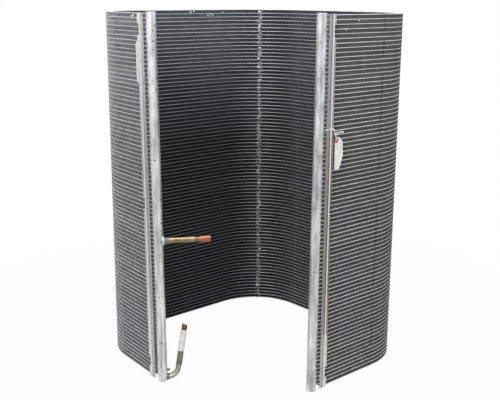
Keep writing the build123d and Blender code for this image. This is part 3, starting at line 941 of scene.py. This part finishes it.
def riserFrame():
    look = pipeSettings
    turn = math.pi / 2 - math.radians(look["riserLean"])
    radius = look["elbowRadius"]
    bendStart = look["elbowReach"] - radius * math.tan(turn / 2)
    level = atEnd(leftEnd, 0, 0, look["liquidHeight"])
    arc = []
    steps = 16
    for i in range(steps + 1):
        angle = turn * i / steps
        rise = leftEnd["up"] * radius * (1 - math.cos(angle))
        arc.append(level + outlet * (bendStart + radius * math.sin(angle)) + rise)
    axis = (outlet * math.cos(turn) + leftEnd["up"] * math.sin(turn)).normalized()
    return level, arc, axis


def liquidPieces():
    look = pipeSettings
    radius = look["radius"]
    bore = radius - look["wall"]
    level, arc, axis = riserFrame()
    foot = arc[-1]
    start = level + outlet * (headerSettings["radius"] - look["elbowInsert"])
    points = [start] + arc + [foot + axis * look["jointHeight"]]
    settle(sweptPipe("liquidElbow", points, radius, metal["elbowMetal"]), ["liquid_elbow"])
    skin = headerSettings["radius"]
    bead = brazeBead("liquidBraze", level, outlet, radius, skin, *look["liquidBead"], metal["brazeGrey"])
    settle(bead, ["liquid_elbow"])
    sleeveEnd = look["sleeveStart"] + look["sleeveLength"]
    labelEnd = sleeveEnd + look["labelLength"]
    tip = labelEnd + look["bareEnd"]

    def torn(angle, reach, distance):
        if distance < labelEnd:
            return reach, distance
        slope = look["cutSlope"] * math.cos(angle - 2.2)
        drop = look["cutDrop"] - slope + look["cutJag"] * ringNoise(angle, 3, 5)
        return reach, distance - max(0, drop)

    def wrinkled(angle, reach, distance):
        if reach > radius + 0.3 * mm:
            reach += look["wrinkle"] * ringNoise(angle, 1.5, distance * 120)
        return reach, distance

    tail = [(bore, look["jointHeight"]), (radius, look["jointHeight"]), (radius, labelEnd - 1 * mm),
            (radius, tip), (bore, tip)]
    piece = turnedPiece("liquidTail", tail, foot, axis, metal["cutCopper"], wobble=torn)
    settle(piece, ["liquid_tail"])
    sleeveOuter = radius + 0.75 * mm
    heights = [look["sleeveStart"] + look["sleeveLength"] * i / 24 for i in range(25)]
    sleeve = [(radius + 0.05 * mm, heights[0]), (sleeveOuter - 0.3 * mm, heights[0])]
    sleeve += [(sleeveOuter - 0.15 * mm, z) for z in heights[1:-1]]
    sleeve += [(sleeveOuter - 0.3 * mm, heights[-1]), (radius + 0.05 * mm, heights[-1])]
    piece = turnedPiece("jointSleeve", sleeve, foot, axis, metal["sleevePlastic"], wobble=wrinkled)
    settle(piece, ["joint_sleeve"])
    heights = [sleeveEnd + 0.4 * mm + (look["labelLength"] - 0.4 * mm) * i / 30 for i in range(31)]
    label = [(radius + 0.05 * mm, heights[0])]
    label += [(radius + 0.4 * mm, z) for z in heights]
    label += [(radius + 0.05 * mm, heights[-1])]

    # the label stands off the pipe low on one side, and its lower edge is uneven
    def loose(angle, reach, distance):
        reach, distance = wrinkled(angle, reach, distance)
        if reach > radius + 0.2 * mm:
            low = max(0, 1 - (distance - sleeveEnd) / (0.7 * look["labelLength"]))
            around = ringNoise(angle, 0.9, 7)
            reach += (1.1 * low + 0.3) * mm * max(0, 0.5 + around * 1.6)
            reach += 0.25 * mm * ringNoise(angle, 4, distance * 260)
        if distance < heights[0] + 0.1 * mm:
            distance += 1.6 * mm * max(0, ringNoise(angle, 1.3, 3) + 0.2)
        return max(radius + 0.05 * mm, reach), distance

    piece = turnedPiece("labelWrap", label, foot, axis, metal["labelPaper"], wobble=loose)
    settle(piece, ["label_wrap"])
    nubStart = atEnd(leftEnd, 0, 0, look["nubHeight"])
    reach = look["nubReach"]
    width = look["nubRadius"]
    base = headerSettings["radius"] - 1.5 * mm
    nub = [(0, base), (width, base), (width, reach - 0.8 * mm), (width - 0.8 * mm, reach), (1 * mm, reach),
           (0.8 * mm, reach - 1 * mm), (0, reach - 1 * mm)]
    piece = turnedPiece("headerNub", nub, nubStart, outlet, metal["brazeGrey"], 32)
    settle(piece, ["header_nub"])


inletPieces()
liquidPieces()
print("pipes built")

# the folded strips beside the headers
stripSettings = {
    "start": 18.5 * mm,
    "rib": 28 * mm,
    "ribWidth": 2.4 * mm,
    "ribHeight": 4 * mm,
    "sheet": 1.2 * mm,
    "leftEnd": 44 * mm,
    "rightEnd": 40 * mm,
    "bottom": 2 * mm,
    "notch": 25 * mm,
    "notchSpacing": 388 * mm,
    "lip": (9 * mm, 695 * mm, 791 * mm, 8 * mm),  # reach, bottom, top and slope
    "dent": 0.35 * mm,
}


# per ring point: 0 is painted shade, 0.5 the plain sheet, 1 a painted highlight
def toneStrip(piece, perRing, tones):
    layer = piece.data.attributes.new("stripShadeAndHighlight", "FLOAT", "POINT")
    layer.data.foreach_set("value", [tones[i % perRing] for i in range(len(piece.data.vertices))])


def stripRun(name, end, node, finish, heights, ringAt, tones):
    verts = [atEnd(end, along, out, z) for z in heights for along, out in ringAt(z)]
    piece = addMesh(name, verts, ringFaces(len(heights), len(tones)), finish)
    toneStrip(piece, len(tones), tones)
    settle(piece, [node])


def edgeStrip(name, end, node, reach, lip, finish):
    look = stripSettings
    half = wallSettings["tubeWidth"] / 2
    face = half + look["sheet"]
    rib = look["rib"]
    back = rib + look["ribWidth"]
    crest = half + look["ribHeight"]
    top = headerHeight - look["bottom"]
    bottom = look["bottom"]

    def bow(z, seed):
        return look["dent"] * max(0, noise.noise(Vector((z * 35, seed, 0))))

    def spine(z):
        lower = bow(z, 1)
        inward = bow(z, 2) * 3
        return [
            (look["start"] + inward, half), (back, half), (back + 0.2 * mm, face - 0.2 * mm), (back, face),
            (back, crest), (back - 0.4 * mm, crest + 0.9 * mm - lower),
            (rib + 0.4 * mm, crest + 0.9 * mm - lower), (rib, crest), (rib, face), (rib - 0.6 * mm, face),
            (look["start"] + 0.4 * mm + inward, face),
        ]

    steps = 170
    heights = [bottom + (top - bottom) * i / steps for i in range(steps + 1)]
    # the spine: painted shade on the inner side, painted highlight along the rib's top
    stripRun(name + "Spine", end, node, finish, heights, spine,
             [0, 0.3, 0.5, 0.5, 0.9, 1, 1, 0.9, 0.2, 0, 0])

    # the left strip's outer edge gets the painted highlight, the right strip's stays plain
    edge = 1 if lip else 0.5

    def flange(z):
        wide = reach - bow(z, 3)
        inner = wide - 1.6 * mm
        if lip:
            out, low, high, slope = look["lip"]
            wide += out * max(0, min(1, (z - low) / slope, (high - z) / slope))
        lift = bow(z, 4)
        return [
            (back - 0.1 * mm, half), (wide - 0.3 * mm, half + lift), (wide, half + 0.3 * mm + lift),
            (wide, face - 0.3 * mm + lift), (wide - 0.3 * mm, face + lift), (inner, face + lift),
            (back - 0.1 * mm, face),
        ]

    middle = headerHeight / 2
    cuts = [middle + row * look["notchSpacing"] + rim * look["notch"] / 2
            for row in (-1, 0, 1) for rim in (-1, 1)]
    marks = [bottom] + cuts + [top]
    for part in range(4):
        low, high = marks[2 * part], marks[2 * part + 1]
        count = max(2, round((high - low) / (5 * mm)))
        heights = [low + (high - low) * i / count for i in range(count + 1)]
        stripRun(name + "Flange" + str(part), end, node, finish, heights, flange,
                 [0.5, 0.5, edge, edge, edge, 0.5, 0.5])


edgeStrip("leftStrip", leftEnd, "left_edge_strip", stripSettings["leftEnd"], True, metal["leftStripMetal"])
edgeStrip("rightStrip", rightWall, "right_edge_strip", stripSettings["rightEnd"], False,
          metal["rightStripMetal"])
print("edge strips built")

# frayed fin ends: two fin coils meet at the back, and handling has bent fins along the top
fraySettings = {
    "place": 772.5 * mm,  # from the left header
    "spread": 5 * mm,
    "perRow": 9,
    "size": (1.0, 2.3),
    "seed": 12,
    # place, side, millimetres below the top and size
    "topSpots": [(0.073, 1, 4, 4), (0.08, 1, 6, 3.2), (0.545, -1, 4, 3), (0.556, -1, 3, 2.6),
                 (0.612, -1, 10, 3.4), (0.604, -1, 14, 2.8), (0.62, -1, 13, 2.8), (0.655, -1, 5, 1.8),
                 (1.53, 1, 30, 2.2), (1.49, 1, 12, 2)],
    "cornerRange": (0.14, 0.27),
    "cornerDepth": (1.5, 12),
    "cornerSize": (0.8, 2.0),
    "cornerCount": 60,
}


def fleckShape(finish):  # a torn end of fin, folded twice
    rows = [(-1.7, 0, 0.45), (-0.6, -1.0, 0.7), (0.5, -0.2, 0.6), (1.7, -1.1, 0.25)]
    verts = [(x * mm, y * mm, side * z * mm) for x, y, z in rows for side in (-1, 1)]
    faces = [(2 * i, 2 * i + 1, 2 * i + 3, 2 * i + 2) for i in range(3)]
    return addMesh("torn", verts, faces, finish, closed=False)


def frayTree():
    inputs = {
        "Torn end": "Geometry", "Count": "Int", "Per row": "Float", "Pitch": "Float", "Spread": "Float",
        "Fin height": "Float", "Smallest": "Float", "Largest": "Float", "Seed": "Int", "Place": "Vector",
        "Turn": "Vector", "Finish": "Material",
    }
    tree, nodes, links, entry, leave = newTree("finFrays", inputs, "Frays")

    def maths(operation, first, second=0.5):
        return addMath(nodes, links, operation, first, second)

    def scatter(low, high, shift, kind="FLOAT"):
        node = nodes.new("FunctionNodeRandomValue")
        node.data_type = kind
        first = 0 if kind == "FLOAT_VECTOR" else 2
        for socket, value in ((node.inputs[first], low), (node.inputs[first + 1], high)):
            if isinstance(value, (int, float, tuple)):
                socket.default_value = value
            else:
                links.new(value, socket)
        links.new(maths("ADD", entry["Seed"], shift), node.inputs["Seed"])
        return node.outputs[0 if kind == "FLOAT_VECTOR" else 1]

    line = nodes.new("GeometryNodeMeshLine")
    line.inputs["Offset"].default_value = (0, 0, 0)
    links.new(entry["Count"], line.inputs["Count"])
    index = nodes.new("GeometryNodeInputIndex").outputs[0]
    row = maths("FLOOR", maths("DIVIDE", index, entry["Per row"]))
    height = maths("ADD", maths("MULTIPLY", row, entry["Pitch"]), scatter(0.0, entry["Fin height"], 1))
    spot = nodes.new("ShaderNodeCombineXYZ")
    links.new(scatter(maths("MULTIPLY", entry["Spread"], -1), entry["Spread"], 2), spot.inputs["X"])
    links.new(height, spot.inputs["Z"])
    move = nodes.new("GeometryNodeSetPosition")
    links.new(line.outputs["Mesh"], move.inputs["Geometry"])
    links.new(spot.outputs[0], move.inputs["Position"])
    place = nodes.new("GeometryNodeTransform")
    links.new(move.outputs["Geometry"], place.inputs["Geometry"])
    links.new(entry["Place"], place.inputs["Translation"])
    links.new(entry["Turn"], place.inputs["Rotation"])
    copies = nodes.new("GeometryNodeInstanceOnPoints")
    links.new(place.outputs["Geometry"], copies.inputs["Points"])
    links.new(entry["Torn end"], copies.inputs["Instance"])
    links.new(scatter((-1.2, -0.5, -3.0), (1.2, 0.5, 3.0), 3, "FLOAT_VECTOR"), copies.inputs["Rotation"])
    links.new(scatter(entry["Smallest"], entry["Largest"], 4), copies.inputs["Scale"])
    endTree(nodes, links, copies.outputs["Instances"], entry, leave)
    return tree


def buildFrays():
    look = fraySettings
    rows = wallSettings["tubes"] + 1
    reach = wallSettings["tubeWidth"] / 2 - 0.6 * mm
    heading = wallPlace(look["place"])[2]
    values = {
        "Count": rows * look["perRow"], "Per row": float(look["perRow"]), "Pitch": wallPitch,
        "Spread": look["spread"], "Fin height": wallSettings["finHeight"],
        "Smallest": look["size"][0], "Largest": look["size"][1], "Seed": look["seed"],
        "Place": tuple(onWall(look["place"], -reach, wallBottom)), "Turn": (0, 0, heading),
        "Finish": metal["frayedFin"],
    }
    frays = runTree(frayTree(), fleckShape(metal["frayedFin"]), "seamFrays", values)
    settle(frays, ["finned_core"])


def buildBentFins():
    look = fraySettings
    chance = random.Random(4)
    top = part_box("finned_core")[1][2]
    spots = list(look["topSpots"])
    for i in range(look["cornerCount"]):
        place = chance.uniform(*look["cornerRange"])
        below = chance.uniform(*look["cornerDepth"])
        spots.append((place, 1, below, chance.uniform(*look["cornerSize"])))
    fold = ((-1, 0, -0.5), (-1, 0, 0.5), (0, 0.5, -0.6), (0, 0.5, 0.6), (1, 0.1, -0.4), (1, 0.1, 0.4))
    verts, faces = [], []
    for distance, side, below, size in spots:
        centre = onWall(distance, side * (wallSettings["tubeWidth"] / 2 - 0.7 * mm), top - below * mm)
        tilt = Matrix.Rotation(chance.uniform(-0.6, 0.6), 3, "Y")
        turn = Matrix.Rotation(wallPlace(distance)[2], 3, "Z") @ tilt
        first = len(verts)
        for x, y, z in fold:
            verts.append(centre + turn @ Vector((x * size * mm, side * y * mm, z * size * mm)))
        faces += [(first, first + 1, first + 3, first + 2), (first + 2, first + 3, first + 5, first + 4)]
    piece = addMesh("bentFins", verts, faces, metal["frayedFin"], closed=False)
    settle(piece, ["finned_core"])


buildFrays()
buildBentFins()
print("frayed fins built")

# the blank tag and its wire
tagSettings = {
    "start": 40 * mm,
    "width": 29 * mm,
    "height": 72 * mm,
    "thickness": 0.55 * mm,
    "drop": 19 * mm,
    "hookRow": 60,
    "topCut": (12 * mm, 11 * mm),
    "footCut": (11 * mm, 30 * mm),
    "trim": 4.5 * mm,
    "curl": 3.4 * mm,
    "hole": (9 * mm, 7 * mm),
    "holeRadius": 2.2 * mm,
    "wireRadius": 0.85 * mm,
}


def tagOutline(fall):  # left and right edge of the card at a distance below its top
    look = tagSettings
    topWide, topTall = look["topCut"]
    footWide, footTall = look["footCut"]
    cut = topWide * max(0, 1 - fall / topTall)
    foot = footWide * max(0, 1 - (look["height"] - fall) / footTall)
    return max(cut * 0.6, look["trim"]), look["width"] - cut - foot


def buildTag():
    look = tagSettings
    hook = wallBottom - floorLift + wallSettings["finHeight"] + wallSettings["tubeThickness"] / 2
    hook += look["hookRow"] * wallPitch + wallPitch / 2
    across, down = 14, 30
    back = wallSettings["tubeWidth"] / 2 + stripSettings["sheet"] + 0.35 * mm

    def card(i, j, lift):
        fall = look["height"] * j / down
        left, right = tagOutline(fall)
        side = left + (right - left) * i / across
        x, y = look["hole"]
        away = math.hypot(side - x, fall - y)
        if 0 < away < look["holeRadius"]:
            side += (side - x) / away * (look["holeRadius"] - away)
            fall += (fall - y) / away * (look["holeRadius"] - away)
        freed = min(1, max(0, fall / look["height"] - 0.15) * 1.4)
        bend = look["curl"] * (side / look["width"]) ** 2 * freed
        bend += 0.25 * mm * noise.noise(Vector((side * 60, fall * 40, 2)))
        stand = back + max(0, bend) + lift
        return atEnd(rightWall, look["start"] + side, stand, hook - look["drop"] - fall)

    verts = []
    for lift in (0, look["thickness"]):
        verts += [card(i, j, lift) for j in range(down + 1) for i in range(across + 1)]
    wide = across + 1
    sheet = wide * (down + 1)
    faces = []

    def inHole(i, j):
        fall = look["height"] * (j + 0.5) / down
        left, right = tagOutline(fall)
        side = left + (right - left) * (i + 0.5) / across
        return math.hypot(side - look["hole"][0], fall - look["hole"][1]) < look["holeRadius"]

    for j in range(down):
        for i in range(across):
            a = j * wide + i
            if inHole(i, j):
                edges = (
                    ((i, j - 1), a, a + 1), ((i + 1, j), a + 1, a + wide + 1),
                    ((i, j + 1), a + wide + 1, a + wide), ((i - 1, j), a + wide, a),
                )
                for near, here, there in edges:
                    if not inHole(*near):
                        faces.append((here, there, sheet + there, sheet + here))
                continue
            faces.append((a, a + 1, a + wide + 1, a + wide))
            faces.append((sheet + a, sheet + a + wide, sheet + a + wide + 1, sheet + a + 1))
    rim = [i for i in range(across)] + [j * wide + across for j in range(down)]
    rim += [down * wide + i for i in range(across, 0, -1)] + [j * wide for j in range(down, 0, -1)]
    for here, there in zip(rim, rim[1:] + rim[:1]):
        faces.append((here, sheet + here, sheet + there, there))
    settle(addMesh("hangTag", verts, faces, metal["tagCard"]), ["hang_tag"])

    out = wallSettings["tubeWidth"] / 2
    # millimetres from the header, off the wall's face and above the hook
    strands = [
        [(14.6, -2, 0), (14.8, 2.4, 0), (20, 5.0, 1.0), (25, 5.5, 0.4), (30, 5.6, 0.2), (36, 5.3, -2.5),
         (42, 4.4, -9), (46.5, 3.2, -18), (48.6, 2.5, -23.5), (49, 1.8, -26)],
        [(49, 1.7, -26), (46.6, 3.0, -22), (44.5, 3.6, -16), (46, 3.9, -10), (51, 4.2, -7.5), (57, 4.3, -9),
         (63, 4.2, -11), (69, 4.1, -9.5)],
        [(26, 5.4, -2.2), (29, 5.5, 2.0), (34, 5.2, 1.8), (39, 4.8, -3), (40, 4.0, -9), (44, 3.8, -13),
         (52, 4.0, -11.5), (60, 4.2, -8), (66, 4.0, -7.5)],
    ]
    for number, strand in enumerate(strands):
        ends = [atEnd(rightWall, u * mm, out + w * mm, hook + z * mm) for u, w, z in strand]
        path = []
        for i in range(len(ends) - 1):
            before = ends[max(i - 1, 0)]
            after = ends[min(i + 2, len(ends) - 1)]
            for k in range(6):
                t = k / 6
                path.append(0.5 * (2 * ends[i] + (ends[i + 1] - before) * t
                            + (2 * before - 5 * ends[i] + 4 * ends[i + 1] - after) * t ** 2
                            + (3 * ends[i] - before - 3 * ends[i + 1] + after) * t ** 3))
        path.append(ends[-1])
        wire = sweptPipe("tagWire" + str(number), path, look["wireRadius"], metal["wireSteel"], 10)
        settle(wire, ["tag_wire"])


buildTag()
print("tag built")


# CAD nodes that keep their shape
def repaint(nodes, finish):
    for node in nodes:
        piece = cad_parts[node]
        piece.data.materials.clear()
        piece.data.materials.append(finish)


repaint(["left_header_separator"], metal["headerMetal"])
repaint(["tag_eyelet"], metal["eyeletBoard"])

# floor, world and lamps
stageSettings = {
    "floorColour": (0.8, 0.8, 0.8),
    "floorWhite": 0.95,  # how far the camera sees the floor as plain white near the coil
    "shadowReach": (0.4, 1.3),
    "ambient": 0.3,
    "lamps": {
        "keyLamp": {"place": (-3.0, -1.0, 2.2), "power": 50, "size": 1.4},
        "fillLamp": {"place": (1.2, -2.8, 1.6), "power": 21, "size": 1.6},
        "topLamp": {"place": (-0.3, -0.3, 2.8), "power": 40, "size": 1.4},
    },
}


def whiteRays(nodes, links):  # camera, mirror and clear-glass rays see plain white
    path = nodes.new("ShaderNodeLightPath").outputs
    seen = addMath(nodes, links, "MAXIMUM", path["Is Camera Ray"], path["Is Glossy Ray"])
    return addMath(nodes, links, "MAXIMUM", seen, path["Is Transmission Ray"])


def buildWorld():
    world = bpy.data.worlds.new("studioWorld")
    bpy.context.scene.world = world
    world.use_nodes = True
    nodes, links = world.node_tree.nodes, world.node_tree.links
    nodes.clear()
    ambient = nodes.new("ShaderNodeBackground")
    ambient.inputs["Color"].default_value = (1, 1, 1, 1)
    ambient.inputs["Strength"].default_value = stageSettings["ambient"]
    white = nodes.new("ShaderNodeBackground")
    white.inputs["Color"].default_value = (1, 1, 1, 1)
    white.inputs["Strength"].default_value = 1
    mix = nodes.new("ShaderNodeMixShader")
    out = nodes.new("ShaderNodeOutputWorld")
    links.new(whiteRays(nodes, links), mix.inputs[0])
    links.new(ambient.outputs[0], mix.inputs[1])
    links.new(white.outputs[0], mix.inputs[2])
    links.new(mix.outputs[0], out.inputs["Surface"])


def buildFloor():
    size = 12
    mesh = bpy.data.meshes.new("floor")
    corners = [(-size, -size, 0), (size, -size, 0), (size, size, 0), (-size, size, 0)]
    mesh.from_pydata(corners, [], [(0, 1, 2, 3)])
    floor = bpy.data.objects.new("floor", mesh)
    bpy.context.collection.objects.link(floor)
    material, nodes, links, shader = newMaterial("paleFloor")
    shader.inputs["Base Color"].default_value = (*stageSettings["floorColour"], 1)
    shader.inputs["Roughness"].default_value = 0.9
    glow = nodes.new("ShaderNodeEmission")
    glow.inputs["Color"].default_value = (1, 1, 1, 1)
    path = nodes.new("ShaderNodeLightPath")
    place = nodes.new("ShaderNodeTexCoord").outputs["Object"]
    away = nodes.new("ShaderNodeVectorMath")
    away.operation = "LENGTH"
    links.new(place, away.inputs[0])
    near, far = stageSettings["shadowReach"]
    fade = addRange(nodes, links, away.outputs["Value"], near, far, stageSettings["floorWhite"], 1)
    mix = nodes.new("ShaderNodeMixShader")
    links.new(addMath(nodes, links, "MULTIPLY", path.outputs["Is Camera Ray"], fade), mix.inputs[0])
    links.new(shader.outputs[0], mix.inputs[1])
    links.new(glow.outputs[0], mix.inputs[2])
    links.new(mix.outputs[0], nodes["Material Output"].inputs["Surface"])
    mesh.materials.append(material)


def addLamp(name, place, power, size):
    data = bpy.data.lights.new(name, "AREA")
    data.energy = power
    data.shape = "DISK"
    data.size = size
    lamp = bpy.data.objects.new(name, data)
    lamp.location = place
    lamp.rotation_euler = (Vector((0, 0, 0.4)) - Vector(place)).to_track_quat("-Z", "Y").to_euler()
    bpy.context.collection.objects.link(lamp)


buildWorld()
buildFloor()
for name, lamp in stageSettings["lamps"].items():
    addLamp(name, lamp["place"], lamp["power"], lamp["size"])
bpy.context.scene.view_settings.view_transform = "Standard"
print("stage built")
